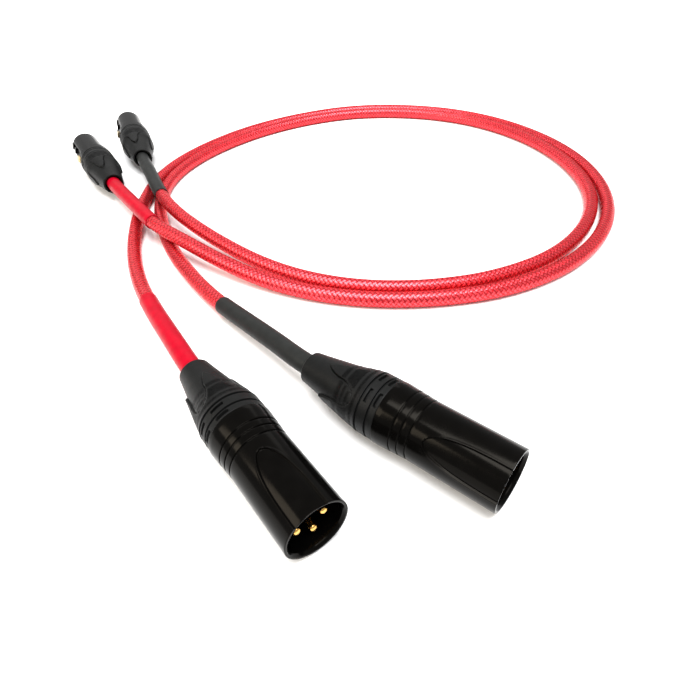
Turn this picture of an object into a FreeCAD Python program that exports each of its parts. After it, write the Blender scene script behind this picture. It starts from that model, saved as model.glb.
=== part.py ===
import FreeCAD, Part
import math
import os
from types import SimpleNamespace

import Sketcher
from FreeCAD import Placement, Rotation, Vector

# A pair of balanced audio leads, each laid in one loose loop, with a male and a female
# three-pole plug. Millimetres, +Z up. The leads lie on the plane Z = 0. The origin is on that
# plane, under the middle of the four plugs. Each plug is drawn along its own X axis, which runs
# from its mating end to its cable end.

SIZES = [
    # Cable and the shrink sleeves that close it at each plug
    ("cable_radius", 3.2, "round jacketed cable"),
    ("sleeve_wall", 0.35, "shrink sleeve"),
    ("sleeve_gap", 0.05, "between jacket and sleeve"),
    ("sleeve_shown", 55.0, "sleeve outside the boot"),
    ("cable_grip", 5.0, "free cable and sleeve inside the boot"),
    ("crossing_gap", 6.4, "air under a lead where it crosses another"),
    # Shared by both plugs
    ("plug_radius", 9.5, "shell of a plug"),
    ("contact_circle", 4.15, "radius of the circle that the contacts lie on"),
    ("contact_radius", 1.2, "pin, and bore of the socket that takes it"),
    ("cup_radius", 1.4, "solder cup"),
    ("cup_bore", 0.95, "solder cup"),
    ("cup_depth", 3.5, "solder cup"),
    ("fit_gap", 0.05, "between parts that are pushed together"),
    ("thread_gap", 0.2, "between a boot's thread sleeve and its shell"),
    ("edge_break", 0.35, "broken edge at a rim"),
    ("boot_bore", 6.2, "front bore of a boot"),
    ("boot_bore_depth", 14.5, "front bore of a boot, from its shoulder"),
    ("boot_gap", 0.15, "between sleeve and boot"),
    ("boot_ring_length", 6.6, "straight ring behind the shoulder"),
    ("boot_ring_step", 0.15, "ring lies under the shell's surface by this"),
    ("boot_groove_width", 0.4, "grooves round the ring"),
    ("boot_groove_depth", 0.4, "grooves round the ring"),
    ("boot_groove_first", 2.2, "first groove from the shoulder"),
    ("boot_groove_pitch", 3.6, "from the first groove to the second"),
    ("slot_first", 0.7, "first row of slots, from the shoulder"),
    ("slot_pitch", 3.4, "from the first row of slots to the second"),
    ("slot_width", 1.0, "slots of a boot"),
    ("slot_length", 4.4, "slots of a boot"),
    ("slot_depth", 0.9, "slots of a boot"),
    ("slot_angle", 22.5, "degrees, from the middle of a boot's scallop to a slot"),
    ("slot_count", 5, "slots in a row"),
    ("slot_span", 180.0, "degrees, from the first slot of a row to the last"),
    ("ridge_bend", 15.0, "ridges bend this far from the cable end"),
    ("ridge_radius", 8.4, "boot over its ridges, at their bend"),
    ("ridge_end", 9.0, "ridges end this far from the cable end"),
    ("ridge_end_radius", 7.7, "boot over its ridges, at their ends"),
    ("neck_start", 24.0, "round neck begins this far from the cable end"),
    ("neck_radius", 8.7, "round neck where it begins"),
    ("neck_middle_radius", 6.45, "round neck where the ridges end"),
    ("boot_tip_radius", 5.3, "cable end of a boot"),
    ("scallop_start", 22.5, "scallops start this far from the cable end"),
    ("scallop_start_height", 9.6, "boot's axis to a scallop where it starts"),
    ("scallop_bend", 14.5, "scallops bend this far from the cable end"),
    ("scallop_bend_height", 7.3, "boot's axis to a scallop at its bend"),
    ("scallop_end_height", 4.9, "boot's axis to a scallop where the ridges end"),
    ("scallop_count", 4, "scallops round a boot"),
    ("jacket_start", 4.0, "jacket begins this far behind the shoulder"),
    ("chuck_start", 2.5, "clamp begins this far behind the shoulder"),
    ("chuck_flange", 3.0, "clamp's ring"),
    ("chuck_length", 11.0, "clamp over all"),
    ("chuck_finger_radius", 5.3, "clamp's fingers"),
    ("chuck_slot", 0.9, "slot between the clamp's fingers"),
    ("wire_radius", 0.75, "insulated conductor"),
    ("wire_circle", 1.55, "conductors where they leave the jacket"),
    ("wire_straight", 1.2, "straight end of a conductor"),
    # Male plug
    ("male_shell_length", 38.5, "mouth to shoulder"),
    ("male_length", 70.0, "mouth to cable end"),
    ("male_thread", 4.2, "thread sleeve of the boot, inside the shell"),
    ("socket_radius", 8.15, "opening that takes a female nose"),
    ("socket_depth", 15.5, "mouth to the contact carrier"),
    ("shell_wall", 1.2, "male shell behind the carrier's stop"),
    ("stop_length", 0.9, "lip that stops the carrier"),
    ("stop_height", 0.7, "lip that stops the carrier"),
    ("shell_ring_first", 27.0, "first ring groove from the mouth"),
    ("shell_ring_pitch", 2.6, "ring grooves"),
    ("shell_ring_width", 0.5, "ring grooves"),
    ("shell_ring_depth", 0.3, "ring grooves"),
    ("shell_ring_count", 3, "ring grooves"),
    ("shell_flare", 0.7, "male shell is this much larger behind its first ring groove"),
    ("shell_flare_inset", 1.5, "flare ends this far before the shoulder"),
    ("tongue_length", 23.0, "sunk panel outside, from the mouth"),
    ("tongue_half_width", 4.6, "sunk panel outside, at the mouth"),
    ("tongue_depth", 0.2, "sunk panel outside"),
    ("catch_width", 3.9, "channel for a mating key and latch"),
    ("catch_length", 13.6, "channel for a mating key and latch, from the mouth"),
    ("catch_wall", 0.9, "shell outside the channel"),
    ("catch_lip", 1.8, "mouth to the recess that holds a mating hook"),
    ("catch_recess", 4.0, "recess that holds a mating hook"),
    ("catch_recess_wall", 0.6, "shell outside that recess"),
    ("pin_tip", 2.5, "mouth to the tips of the pins"),
    ("pin_tip_length", 0.8, "taper at the tip of a pin"),
    ("pin_tip_radius", 0.6, "flat at the tip of a pin"),
    ("pin_shank_step", 0.3, "pin is thicker inside its carrier by this"),
    ("pin_collar_radius", 1.95, "collar behind the carrier"),
    ("pin_collar_length", 1.2, "collar behind the carrier"),
    ("male_disc", 6.5, "solid front of the male carrier"),
    ("male_skirt_wall", 1.5, "skirt of the male carrier"),
    ("male_cup_length", 6.0, "collar to the end of the solder cup"),
    # Female plug
    ("female_length", 71.5, "nose to cable end"),
    ("female_shell_length", 34.5, "nose to shoulder"),
    ("female_thread", 2.7, "thread sleeve of the boot, inside the shell"),
    ("nose_radius", 7.95, "nose that enters a male shell"),
    ("nose_wall", 1.0, "nose of the female shell"),
    ("collar_length", 6.9, "collar behind the nose, to the shoulder"),
    ("collar_wall", 1.3, "wall of the female shell behind the nose"),
    ("collar_step", 0.5, "collar's front step"),
    ("collar_bevel", 1.0, "bevel at the front of the collar"),
    ("carrier_front", 0.3, "carrier lies this far inside the nose"),
    ("carrier_flange_length", 10.3, "carrier's flange starts this far before the shoulder"),
    ("carrier_flange_step", 0.4, "carrier's flange stands out by this"),
    ("socket_start", 2.0, "nose to the socket contacts"),
    ("socket_wall", 0.7, "wall of a socket contact"),
    ("socket_nose", 0.5, "thinned front of a socket contact, inside the entry hole"),
    ("socket_nose_wall", 0.3, "wall of that front"),
    ("socket_bore_length", 14.0, "bore of a socket contact"),
    ("socket_neck", 0.9, "solid neck of a socket contact"),
    ("entry_gap", 0.35, "carrier's entry hole is wider than the pin by this"),
    ("female_cup_inset", 1.2, "solder cups end this far before the shoulder"),
    ("key_width", 3.2, "key on the nose"),
    ("key_height", 0.5, "key on the nose"),
    ("key_start", 0.6, "nose to the key"),
    ("key_end", 3.9, "nose to the end of the key"),
    ("latch_slot_start", 4.6, "nose to the latch slot"),
    ("latch_slot_inset", 3.3, "latch slot ends this far before the shoulder"),
    ("lever_width", 3.4, "latch lever"),
    ("lever_side_gap", 0.3, "each side of the lever"),
    ("channel_floor", 3.4, "plug axis to the floor of the latch channel"),
    ("channel_start", 1.2, "nose to the latch channel"),
    ("pivot_along", 3.0, "nose to the latch pivot"),
    ("pivot_height", 5.4, "plug axis to the latch pivot"),
    ("pivot_radius", 0.5, "latch pivot pin"),
    ("pivot_gap", 0.05, "lever on its pin"),
    ("pivot_length", 7.0, "latch pivot pin"),
    ("eye_half", 1.1, "half width of the lever's eye"),
    ("eye_bottom", 4.3, "plug axis to the bottom of the eye"),
    ("lever_front_top", 6.5, "plug axis to the lever under the nose ring"),
    ("lever_top", 7.3, "plug axis to the top of the lever"),
    ("lever_bottom", 6.2, "plug axis to the underside of the lever"),
    ("lever_step_start", 5.1, "nose to the lever's step"),
    ("lever_step_end", 6.1, "nose to the top of the lever's step"),
    ("hook_ramp", 9.9, "nose to the foot of the hook's ramp"),
    ("hook_crest", 11.5, "nose to the top of the hook's ramp"),
    ("hook_end", 12.6, "nose to the back of the hook"),
    ("hook_top", 8.8, "plug axis to the top of the hook"),
    ("tab_ramp", 1.2, "ramp in front of the push tab"),
    ("tab_length", 5.2, "top of the push tab"),
    ("tab_inset", 0.8, "push tab to the end of the lever"),
    ("tab_break", 0.6, "broken edge of the push tab"),
    ("tab_top", 10.3, "plug axis to the top of the push tab"),
    ("lever_end_gap", 0.4, "end of the lever to the end of its slot"),
    ("spring_thickness", 0.25, "leaf spring under the lever"),
    ("spring_width", 2.2, "leaf spring under the lever"),
    ("spring_start", 7.0, "nose to the leaf spring"),
    ("spring_bend", 12.0, "nose to the bend of the leaf spring"),
    ("spring_tip_gap", 0.6, "tip of the leaf spring to the foot of the push tab"),
    ("spring_gap", 0.1, "leaf spring to the floor and to the lever"),
    # Where the four plugs lie: mating end, heading towards the cable end, turn about their axis
    ("red_male_x", 48.8, ""),
    ("red_male_y", -155.35, ""),
    ("red_male_heading", 124.9, "degrees"),
    ("red_male_turn", -7.0, "degrees"),
    ("black_male_x", 99.3, ""),
    ("black_male_y", -145.3, ""),
    ("black_male_heading", 138.3, "degrees"),
    ("black_male_turn", -51.5, "degrees"),
    ("red_female_x", -99.95, ""),
    ("red_female_y", 118.1, ""),
    ("red_female_heading", 300.3, "degrees"),
    ("red_female_turn", 71.5, "degrees"),
    ("black_female_x", -83.1, ""),
    ("black_female_y", 157.5, ""),
    ("black_female_heading", 291.7, "degrees"),
    ("black_female_turn", 72.0, "degrees"),
    ("red_male_boot_turn", 144.0, "degrees, of the boot in its shell"),
    ("black_male_boot_turn", 0.0, "degrees, of the boot in its shell"),
    ("red_female_boot_turn", -15.0, "degrees, of the boot in its shell"),
    ("black_female_boot_turn", -19.0, "degrees, of the boot in its shell"),
    ("male_lead", 29.0, "first run of the route at a male plug"),
    ("black_male_lead", 22.0, "first run of the route at the black male plug"),
    ("female_lead", 16.0, "last run of the route at a female plug"),
]

doc = FreeCAD.newDocument("balanced_leads")


class Size:
    """A number with the sheet formula that gives it, so that sketches can be bound to the sheet."""

    def __init__(self, value, formula):
        self.value = value
        self.formula = formula

    def __add__(self, other):
        other = as_size(other)
        return Size(self.value + other.value, "(%s + %s)" % (self.formula, other.formula))

    def __sub__(self, other):
        other = as_size(other)
        return Size(self.value - other.value, "(%s - %s)" % (self.formula, other.formula))

    def __mul__(self, factor):
        return Size(self.value * factor, "(%s * %s)" % (self.formula, factor))

    def __neg__(self):
        return Size(-self.value, "(0 - %s)" % self.formula)


def as_size(number):
    return number if isinstance(number, Size) else Size(number, str(number))


def make_sheet():
    sheet = doc.addObject("Spreadsheet::Sheet", "Sizes")
    sizes = SimpleNamespace()
    for row, (alias, value, note) in enumerate(SIZES, start=1):
        sheet.set("A%d" % row, alias)
        sheet.set("B%d" % row, str(value))
        sheet.set("C%d" % row, note)
        sheet.setAlias("B%d" % row, alias)
        setattr(sizes, alias, Size(value, "Sizes.%s" % alias))
    doc.recompute()
    return sizes


S = make_sheet()
ZERO = as_size(0)
sleeve_bore = S.cable_radius + S.sleeve_gap
sleeve_radius = sleeve_bore + S.sleeve_wall
# Places along the female plug, from its nose, that go with its shoulder
nose_end = S.female_shell_length - S.collar_length
carrier_flange_start = S.female_shell_length - S.carrier_flange_length
female_cup_end = S.female_shell_length - S.female_cup_inset
latch_slot_end = S.female_shell_length - S.latch_slot_inset
lever_end = latch_slot_end - S.lever_end_gap
tab_end = lever_end - S.tab_inset
tab_start = tab_end - S.tab_length
tab_foot = tab_start - S.tab_ramp
spring_tip = tab_foot - S.spring_tip_gap


# Sketches and features

def origin_plane(body, role):
    return next(item for item in body.Origin.OriginFeatures if item.Role == role)


def new_body(name):
    body = doc.addObject("PartDesign::Body", name)
    body.Label = name
    return body


def new_sketch(body, role, along=None):
    sketch = body.newObject("Sketcher::SketchObject", "Sketch")
    sketch.AttachmentSupport = [(origin_plane(body, role), "")]
    sketch.MapMode = "FlatFace"
    if along is not None:
        sketch.setExpression("AttachmentOffset.Base.z", along.formula)
    return sketch


def bind(sketch, kind, first, size):
    """Adds a dimension that the sheet drives."""
    index = sketch.addConstraint(Sketcher.Constraint(kind, *first, size.value))
    sketch.setExpression("Constraints[%d]" % index, size.formula)


def fix_point(sketch, edge, end, x, y):
    """Holds a point of the sketch at sheet-driven distances from the sketch's axes."""
    for kind, axis, size in (("DistanceX", -2, x), ("DistanceY", -1, y)):
        if size.value == 0:
            sketch.addConstraint(Sketcher.Constraint("PointOnObject", edge, end, axis))
        else:
            bind(sketch, kind, (-1, 1, edge, end), size)


def outline(body, role, corners):
    """A closed outline of straight edges through the corners."""
    sketch = new_sketch(body, role)
    places = [Vector(x.value, y.value, 0) for x, y in corners]
    count = len(places)
    for k in range(count):
        sketch.addGeometry(Part.LineSegment(places[k], places[(k + 1) % count]))
    for k in range(count):
        sketch.addConstraint(Sketcher.Constraint("Coincident", k, 2, (k + 1) % count, 1))
    for k, (x, y) in enumerate(corners):
        fix_point(sketch, k, 1, as_size(x), as_size(y))
    return sketch


def turn(body, corners, kind="Revolution"):
    """Turns an outline of (along, out) corners about the piece's own X axis."""
    sketch = outline(body, "XZ_Plane", corners)
    feature = body.newObject("PartDesign::" + kind, kind)
    feature.Profile = sketch
    feature.ReferenceAxis = (sketch, ["H_Axis"])
    feature.Angle = 360
    return feature


def turned(name, corners):
    body = new_body(name)
    turn(body, corners)
    return body


def symmetric(feature, length):
    """Runs a pad or pocket to both sides of its sketch."""
    feature.SideType = "Symmetric"
    feature.setExpression("Length", length.formula)


def extrude(body, kind, sketch, length):
    feature = body.newObject("PartDesign::" + kind, kind)
    feature.Profile = sketch
    symmetric(feature, length)
    return feature


def round_holes(body, places, radius, start, end):
    """Round holes along X, from start to end."""
    sketch = new_sketch(body, "YZ_Plane", (start + end) * 0.5)
    for k, (y, z) in enumerate(places):
        centre = Vector(y.value, z.value, 0)
        sketch.addGeometry(Part.Circle(centre, Vector(0, 0, 1), radius.value))
        fix_point(sketch, k, 3, y, z)
        bind(sketch, "Radius", (k,), radius)
    return extrude(body, "Pocket", sketch, end - start)


def block(body, kind, half_width, low, high, start, end):
    """A straight channel or rib along X, centred on the XZ plane."""
    corners = [(-half_width, low), (half_width, low), (half_width, high), (-half_width, high)]
    sketch = outline(body, "YZ_Plane", corners)
    sketch.setExpression("AttachmentOffset.Base.z", ((start + end) * 0.5).formula)
    return extrude(body, kind, sketch, end - start)


def repeat_round(body, feature, count, angle=Size(360, "360")):
    """Repeats a feature round the X axis."""
    pattern = body.newObject("PartDesign::PolarPattern", "PolarPattern")
    pattern.Originals = [feature]
    pattern.Axis = (origin_plane(body, "X_Axis"), [""])
    pattern.setExpression("Angle", angle.formula)
    pattern.setExpression("Occurrences", count.formula)
    body.Tip = pattern
    return pattern


def repeat_along(body, feature, pitch, count):
    """Repeats a feature along the X axis."""
    pattern = body.newObject("PartDesign::LinearPattern", "LinearPattern")
    pattern.Originals = [feature]
    pattern.Direction = (origin_plane(body, "X_Axis"), [""])
    pattern.setExpression("Length", (pitch * (count.value - 1)).formula)
    pattern.setExpression("Occurrences", count.formula)
    body.Tip = pattern
    return pattern


def group(name, pieces):
    """Several separate solids under one name."""
    compound = doc.addObject("Part::Compound", name)
    compound.Label = name
    compound.Links = pieces
    return compound


def bare(name, shape):
    """A piece that is one swept or cut shape."""
    feature = doc.addObject("Part::Feature", name)
    feature.Label = name
    feature.Shape = shape
    return feature


# Where the three contacts lie in a plug: one each side, and one away from the key
CONTACT_PLACES = [
    (S.contact_circle, ZERO),
    (-S.contact_circle, ZERO),
    (ZERO, -S.contact_circle),
]


def contacts(name, corners):
    """Three like contacts on the contact circle, each turned about its own axis."""
    pieces = []
    for number, (y, z) in enumerate(CONTACT_PLACES, start=1):
        piece = turned("%s_%d" % (name, number), corners)
        piece.setExpression("Placement.Base.y", y.formula)
        piece.setExpression("Placement.Base.z", z.formula)
        pieces.append(piece)
    return group(name, pieces)


# Paths of straight runs joined by tangent arcs

def rounded_path(points, share=0.45):
    """Edges of the path, and the radius of each of its arcs."""
    edges = []
    radii = []
    start = points[0]
    for before, corner, after in zip(points, points[1:], points[2:]):
        back = before - corner
        ahead = after - corner
        reach = share * min(back.Length, ahead.Length)
        half_turn = (math.pi - back.getAngle(ahead)) / 2
        back.normalize()
        ahead.normalize()
        radius = reach / math.tan(half_turn)
        to_centre = (back + ahead).normalize()
        centre = corner + to_centre * math.hypot(radius, reach)
        arc_start = corner + back * reach
        arc_end = corner + ahead * reach
        edges.append(Part.LineSegment(start, arc_start).toShape())
        edges.append(Part.Arc(arc_start, centre - to_centre * radius, arc_end).toShape())
        radii.append(radius)
        start = arc_end
    edges.append(Part.LineSegment(start, points[-1]).toShape())
    return edges, radii


def first_stretch(edges, length):
    """The edges of a path up to a length along it."""
    kept = []
    for edge in edges:
        if edge.Length >= length:
            last = edge.getParameterByLength(length)
            kept.append(edge.Curve.toShape(edge.FirstParameter, last))
            return kept
        kept.append(edge)
        length -= edge.Length
    return kept


def tube(edges, radius):
    """A round solid along a path."""
    first = edges[0]
    heading = first.tangentAt(first.FirstParameter)
    start = first.valueAt(first.FirstParameter)
    ring = Part.Wire([Part.makeCircle(radius, start, heading)])
    return Part.Wire(edges).makePipeShell([ring], True, False)


# Pieces that both kinds of plug have

def boot_body(name, shoulder, length, thread_length, shell_bore, shell_radius):
    """The rear boot: a thread sleeve inside the shell, a slotted ring, ridges and a neck."""
    thread = shell_bore - S.thread_gap
    ring = shell_radius - S.boot_ring_step
    ring_end = shoulder + S.boot_ring_length
    ridge_end = length - S.ridge_end
    boot = turned(name, [
        (shoulder - thread_length, ZERO),
        (shoulder - thread_length, thread),
        (shoulder + S.fit_gap, thread),
        (shoulder + S.fit_gap, ring),
        (ring_end, ring),
        (length - S.ridge_bend, S.ridge_radius),
        (ridge_end, S.ridge_end_radius),
        (ridge_end, ZERO),
    ])
    # Sloping flats leave four ridges that run out at the round neck
    flat = outline(boot, "XZ_Plane", [
        (length - S.scallop_start, S.scallop_start_height),
        (length - S.scallop_bend, S.scallop_bend_height),
        (ridge_end, S.scallop_end_height),
        (ridge_end, S.plug_radius * 2),
        (length - S.scallop_start, S.plug_radius * 2),
    ])
    cut = extrude(boot, "Pocket", flat, S.plug_radius * 2)
    repeat_round(boot, cut, S.scallop_count)
    turn(boot, [
        (length - S.neck_start, ZERO),
        (length - S.neck_start, S.neck_radius),
        (ridge_end, S.neck_middle_radius),
        (length - S.edge_break * 2, S.boot_tip_radius),
        (length, S.boot_tip_radius - S.edge_break * 2),
        (length, ZERO),
    ])
    bore = sleeve_radius + S.boot_gap
    bore_end = shoulder + S.boot_bore_depth
    turn(boot, [
        (shoulder - thread_length - S.edge_break, ZERO),
        (shoulder - thread_length - S.edge_break, S.boot_bore),
        (bore_end, S.boot_bore),
        (bore_end + (S.boot_bore - bore), bore),
        (length + S.edge_break, bore),
        (length + S.edge_break, ZERO),
    ], "Groove")
    groove_start = shoulder + S.boot_groove_first
    groove = turn(boot, ring_band(groove_start, S.boot_groove_width, ring, S.boot_groove_depth),
                  "Groove")
    repeat_along(boot, groove, S.boot_groove_pitch, as_size(2))
    for start in (shoulder + S.slot_first, shoulder + S.slot_first + S.slot_pitch):
        slot = block(boot, "Pocket", S.slot_length * 0.5, ring - S.slot_depth,
                     S.plug_radius * 2, start, start + S.slot_width)
        slot.Profile[0].setExpression("AttachmentOffset.Rotation.Angle", S.slot_angle.formula)
        repeat_round(boot, slot, S.slot_count, S.slot_span)
    return boot


def ring_band(start, width, radius, depth):
    """Outline of a groove round a cylinder."""
    return [
        (start, radius - depth),
        (start + width, radius - depth),
        (start + width, radius + depth * 4),
        (start, radius + depth * 4),
    ]


def chuck_body(name, shoulder):
    """The clamp that grips the jacket: a ring with slotted fingers, inside the boot's bore."""
    start = shoulder + S.chuck_start
    end = start + S.chuck_length
    flange_end = start + S.chuck_flange
    chuck = turned(name, [
        (start, sleeve_bore),
        (start, S.boot_bore - S.fit_gap),
        (flange_end, S.boot_bore - S.fit_gap),
        (flange_end, S.chuck_finger_radius),
        (end, S.chuck_finger_radius),
        (end, sleeve_bore),
    ])
    slot = block(chuck, "Pocket", S.chuck_slot * 0.5, ZERO, S.boot_bore * 2,
                 flange_end + S.chuck_slot, end + S.chuck_slot)
    repeat_round(chuck, slot, as_size(4))
    return chuck


def jacket_end(name, shoulder, length):
    """The jacketed cable inside the plug, up to where the free cable meets it."""
    return turned(name, [
        (shoulder + S.jacket_start, ZERO),
        (shoulder + S.jacket_start, S.cable_radius),
        (length - S.cable_grip, S.cable_radius),
        (length - S.cable_grip, ZERO),
    ])


def conductors(name, cup_end, shoulder):
    """The three insulated wires, from the solder cups to the jacket."""
    start = cup_end.value - S.cup_depth.value + S.wire_straight.value
    end = shoulder.value + S.jacket_start.value
    wires = []
    for y, z in CONTACT_PLACES:
        out = Vector(0, y.value, z.value).normalize()
        near = out * S.contact_circle.value
        far = out * S.wire_circle.value
        along = Vector(1, 0, 0)
        points = [
            along * start + near,
            along * (cup_end.value + S.wire_straight.value) + near,
            along * (end - S.wire_straight.value) + far,
            along * end + far,
        ]
        edges, radii = rounded_path(points)
        wires.append(tube(edges, S.wire_radius.value))
    return bare(name, Part.makeCompound(wires))


# Male plug

def male_shell(name):
    """One cast tube: the socket for a mating nose in front, the carrier's seat behind it."""
    seat = S.plug_radius - S.shell_wall
    rear = S.plug_radius + S.shell_flare
    stop_start = S.socket_depth - S.stop_length
    shell = turned(name + "_tube", [
        (ZERO, S.socket_radius + S.edge_break),
        (ZERO, S.plug_radius - S.edge_break),
        (S.edge_break, S.plug_radius),
        (S.shell_ring_first + S.shell_ring_width, S.plug_radius),
        (S.male_shell_length - S.shell_flare_inset, rear),
        (S.male_shell_length, rear),
        (S.male_shell_length, seat),
        (S.socket_depth, seat),
        (S.socket_depth, S.socket_radius - S.stop_height),
        (stop_start, S.socket_radius - S.stop_height),
        (stop_start, S.socket_radius),
        (S.edge_break, S.socket_radius),
    ])
    half = S.catch_width * 0.5
    block(shell, "Pocket", half, S.socket_radius * 0.5, S.plug_radius - S.catch_wall,
          -S.edge_break, S.catch_length)
    block(shell, "Pocket", half, S.socket_radius * 0.5, S.plug_radius - S.catch_recess_wall,
          S.catch_lip, S.catch_lip + S.catch_recess)
    ring = turn(shell, ring_band(S.shell_ring_first, S.shell_ring_width, S.plug_radius,
                                 S.shell_ring_depth), "Groove")
    repeat_along(shell, ring, S.shell_ring_pitch, S.shell_ring_count)
    return cut_from(name, shell, tongue_panel(name + "_panel"))


def tongue_panel(name):
    """What the sunk panel outside a male shell takes away: half an ellipse, from the mouth."""
    edge = doc.addObject("Part::Ellipse", name + "_edge")
    edge.setExpression("MajorRadius", S.tongue_length.formula)
    edge.setExpression("MinorRadius", S.tongue_half_width.formula)
    prism = doc.addObject("Part::Extrusion", name + "_prism")
    prism.Base = edge
    prism.Dir = Vector(0, 0, 1)
    prism.DirMode = "Custom"
    prism.Solid = True
    prism.setExpression("LengthFwd", (S.plug_radius * 2).formula)
    length = S.tongue_length + S.edge_break
    outer = rod(name + "_outer", S.plug_radius + S.edge_break, length)
    inner = rod(name + "_inner", S.plug_radius - S.tongue_depth, length)
    skin = cut_from(name + "_skin", outer, inner)
    panel = doc.addObject("Part::Common", name)
    panel.Base = prism
    panel.Tool = skin
    return panel


def rod(name, radius, length):
    """A round rod along the plug's axis, from its mating end."""
    piece = doc.addObject("Part::Cylinder", name)
    piece.setExpression("Radius", radius.formula)
    piece.setExpression("Height", length.formula)
    piece.Placement = Placement(Vector(), Rotation(Vector(0, 1, 0), 90))
    return piece


def cut_from(name, base, tool):
    result = doc.addObject("Part::Cut", name)
    result.Label = name
    result.Base = base
    result.Tool = tool
    return result


def male_carrier(name):
    """The contact carrier: a disc with three holes, and a skirt that the boot clamps."""
    outer = S.plug_radius - S.shell_wall - S.fit_gap
    disc_end = S.socket_depth + S.male_disc
    skirt_end = S.male_shell_length - S.male_thread - S.fit_gap
    carrier = turned(name, [
        (S.socket_depth, ZERO),
        (S.socket_depth, outer),
        (skirt_end, outer),
        (skirt_end, outer - S.male_skirt_wall),
        (disc_end, outer - S.male_skirt_wall),
        (disc_end, ZERO),
    ])
    round_holes(carrier, CONTACT_PLACES, S.contact_radius + S.pin_shank_step + S.fit_gap,
                S.socket_depth, disc_end)
    return carrier


male_cup_end = S.socket_depth + S.male_disc + S.pin_collar_length + S.male_cup_length


def male_contacts(name):
    """Three pins with a tapered tip, a collar behind the carrier and a solder cup."""
    collar = S.socket_depth + S.male_disc
    collar_end = collar + S.pin_collar_length
    return contacts(name, [
        (S.pin_tip, ZERO),
        (S.pin_tip, S.pin_tip_radius),
        (S.pin_tip + S.pin_tip_length, S.contact_radius),
        (S.socket_depth, S.contact_radius),
        (S.socket_depth, S.contact_radius + S.pin_shank_step),
        (collar, S.contact_radius + S.pin_shank_step),
        (collar, S.pin_collar_radius),
        (collar_end, S.pin_collar_radius),
        (collar_end, S.cup_radius),
        (male_cup_end, S.cup_radius),
        (male_cup_end, S.cup_bore),
        (male_cup_end - S.cup_depth, S.cup_bore),
        (male_cup_end - S.cup_depth, ZERO),
    ])


# Female plug

latch_half = S.lever_width * 0.5 + S.lever_side_gap
female_bore = S.plug_radius - S.collar_wall


def female_shell(name):
    """The nose that enters a male shell, with a key and a latch slot, and a collar behind it."""
    nose_bore = S.nose_radius - S.nose_wall
    flange_bore = nose_bore + S.carrier_flange_step
    seat = S.female_shell_length - S.female_thread - S.thread_gap
    shell = turned(name, [
        (ZERO, nose_bore),
        (ZERO, S.nose_radius - S.edge_break),
        (S.edge_break, S.nose_radius),
        (nose_end, S.nose_radius),
        (nose_end, S.plug_radius - S.collar_step),
        (nose_end + S.collar_bevel, S.plug_radius),
        (S.female_shell_length, S.plug_radius),
        (S.female_shell_length, female_bore),
        (seat, female_bore),
        (seat, flange_bore),
        (carrier_flange_start, flange_bore),
        (carrier_flange_start, nose_bore),
    ])
    block(shell, "Pad", S.key_width * 0.5, S.nose_radius - S.nose_wall * 0.5,
          S.nose_radius + S.key_height, S.key_start, S.key_end)
    block(shell, "Pocket", latch_half, S.channel_floor, S.plug_radius * 2,
          S.latch_slot_start, latch_slot_end)
    return shell


def female_carrier(name):
    """The contact carrier, with a channel along its top for the latch."""
    body_radius = S.nose_radius - S.nose_wall - S.fit_gap
    flange = body_radius + S.carrier_flange_step
    back = S.female_shell_length - S.female_thread - S.fit_gap
    carrier = turned(name, [
        (S.carrier_front, ZERO),
        (S.carrier_front, body_radius),
        (carrier_flange_start + S.fit_gap, body_radius),
        (carrier_flange_start + S.fit_gap, flange),
        (back, flange),
        (back, ZERO),
    ])
    round_holes(carrier, CONTACT_PLACES, S.contact_radius + S.entry_gap,
                S.carrier_front, S.socket_start + S.socket_nose)
    round_holes(carrier, CONTACT_PLACES, S.contact_radius + S.socket_wall + S.fit_gap,
                S.socket_start + S.socket_nose, back)
    block(carrier, "Pocket", latch_half, S.channel_floor, S.plug_radius, S.channel_start,
          back + S.edge_break)
    pivot_hole(carrier, ZERO)
    return carrier


def pivot_hole(body, gap):
    """The cross hole for the latch's pivot pin."""
    sketch = new_sketch(body, "XZ_Plane")
    centre = Vector(S.pivot_along.value, S.pivot_height.value, 0)
    radius = S.pivot_radius + gap + S.pivot_gap * 0.5
    sketch.addGeometry(Part.Circle(centre, Vector(0, 0, 1), radius.value))
    fix_point(sketch, 0, 3, S.pivot_along, S.pivot_height)
    bind(sketch, "Radius", (0,), radius)
    return extrude(body, "Pocket", sketch, S.pivot_length + S.fit_gap * 2)


def female_contacts(name):
    """Three sockets, bored in front for the pins and behind for the wires."""
    outer = S.contact_radius + S.socket_wall
    bore_end = S.socket_start + S.socket_bore_length
    return contacts(name, [
        (S.socket_start, S.contact_radius),
        (S.socket_start, S.contact_radius + S.socket_nose_wall),
        (S.socket_start + S.socket_nose, S.contact_radius + S.socket_nose_wall),
        (S.socket_start + S.socket_nose, outer),
        (bore_end + S.socket_neck, outer),
        (bore_end + S.socket_neck, S.cup_radius),
        (female_cup_end, S.cup_radius),
        (female_cup_end, S.cup_bore),
        (female_cup_end - S.cup_depth, S.cup_bore),
        (female_cup_end - S.cup_depth, ZERO),
        (bore_end, ZERO),
        (bore_end, S.contact_radius),
    ])


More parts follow.
